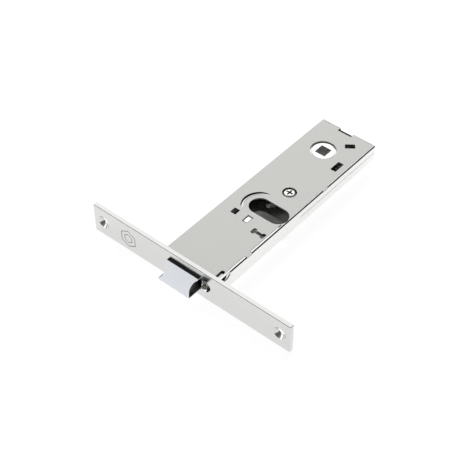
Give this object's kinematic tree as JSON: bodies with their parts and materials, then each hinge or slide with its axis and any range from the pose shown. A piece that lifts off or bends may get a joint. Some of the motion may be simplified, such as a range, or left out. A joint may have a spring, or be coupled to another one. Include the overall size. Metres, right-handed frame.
{
  "type": "mortise lock",
  "caption": "Long mortise lock with a flat faceplate, a bevelled spring latch, a square-hole follower and an oval cylinder hole.",
  "frame": {"origin": "centre of the footprint, on the surface that the lock lies on", "axes": "+X along the faceplate, +Y from the faceplate into the door, +Z out of the cover"},
  "size_m": [0.16, 0.1774, 0.022],
  "materials": {
    "polished_steel": "polished, nearly mirror bright",
    "plated_sheet": "satin zinc or nickel plated sheet",
    "plated_latch": "bright plated, slightly blue",
    "bright_steel": "bright machined steel",
    "zinc_casting": "plain die casting"
  },
  "bodies": {
    "case": {"faceplate": "polished_steel", "case_body": "plated_sheet", "case_cover": "plated_sheet", "spring_bracket": "zinc_casting", "spring_guide_rod": "bright_steel", "latch_spring": "bright_steel", "follower_spring_seat": "zinc_casting", "follower_spring": "bright_steel", "key_lever_post": "bright_steel", "cover_screw": "bright_steel", "cylinder_screw": "bright_steel", "screw_guide": "zinc_casting", "spacer_1": "bright_steel", "spacer_2": "bright_steel", "spacer_3": "bright_steel", "spacer_4": "bright_steel", "faceplate_rivet_left": "bright_steel", "faceplate_rivet_right": "bright_steel"},
    "latch": {"latch_head": "plated_latch", "drawbar": "bright_steel", "latch_rivet_1": "bright_steel", "latch_rivet_2": "bright_steel"},
    "follower": {"follower_hub": "zinc_casting"},
    "lever": {"key_lever": "bright_steel"}
  },
  "joints": [
    {"name": "latch_slide", "type": "slide", "parent": "case", "child": "latch", "axis": [0, 1, 0], "range_m": [0, 0.0105], "stiffness_N_per_m": 600, "springref_m": -0.012, "deforming": ["latch_spring"]},
    {"name": "follower_turn", "type": "hinge", "parent": "case", "child": "follower", "pos_m": [-0.0025, 0.06225, 0.011], "axis": [0, 0, -1], "range_deg": [0, 45], "stiffness_Nm_per_rad": 0.05, "springref_deg": -17.19, "deforming": ["follower_spring"]},
    {"name": "key_lever_swing", "type": "hinge", "parent": "case", "child": "lever", "pos_m": [0.006, 0.01475, 0.011], "axis": [0, 0, -1], "range_deg": [0, 30]}
  ],
  "couplings": [
    {"joint": "follower_turn", "follows": "latch_slide", "rad_per_m": 74.79},
    {"joint": "key_lever_swing", "follows": "latch_slide", "rad_per_m": 49.866}
  ]
}
